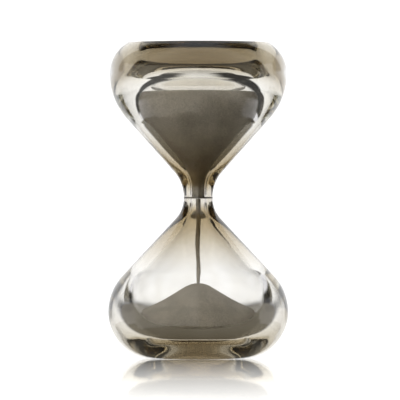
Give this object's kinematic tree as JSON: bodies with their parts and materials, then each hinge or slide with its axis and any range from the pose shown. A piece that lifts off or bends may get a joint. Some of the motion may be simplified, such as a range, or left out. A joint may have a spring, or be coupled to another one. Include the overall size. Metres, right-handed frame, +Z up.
{
  "type": "hourglass",
  "caption": "Frameless hourglass of thick clear glass with a smoke-tinted inside, two bulbs bonded at the neck, flat ends, dark grey-brown sand caught mid-run.",
  "frame": {"origin": "middle of the ground base flat, on the surface the hourglass stands on", "axes": "+Z up along the axis of revolution, from the base flat to the top flat"},
  "size_m": [0.0856, 0.0856, 0.15],
  "materials": {
    "clear_glass": "polished, thick clear casing glass",
    "smoke_glass": "polished, thin smoke-brown lining glass",
    "orifice_metal": "thin blackened sheet",
    "bond_adhesive": "clear cured adhesive film",
    "sand": "matt, fine-grained, dark grey-brown"
  },
  "bodies": {
    "glass": {"upper_bulb_casing": "clear_glass", "lower_bulb_casing": "clear_glass", "upper_bulb_lining": "smoke_glass", "lower_bulb_lining": "smoke_glass", "orifice_disc": "orifice_metal", "upper_neck_bond": "bond_adhesive", "lower_neck_bond": "bond_adhesive", "upper_sand_charge": "sand", "lower_sand_heap": "sand"},
    "stream": {"sand_stream": "sand"}
  },
  "joints": [
    {"name": "sand_stream_front", "type": "slide", "parent": "glass", "child": "stream", "axis": [0, 0, 1], "range_m": [0, 0.04525], "deforming": ["sand_stream"]}
  ]
}
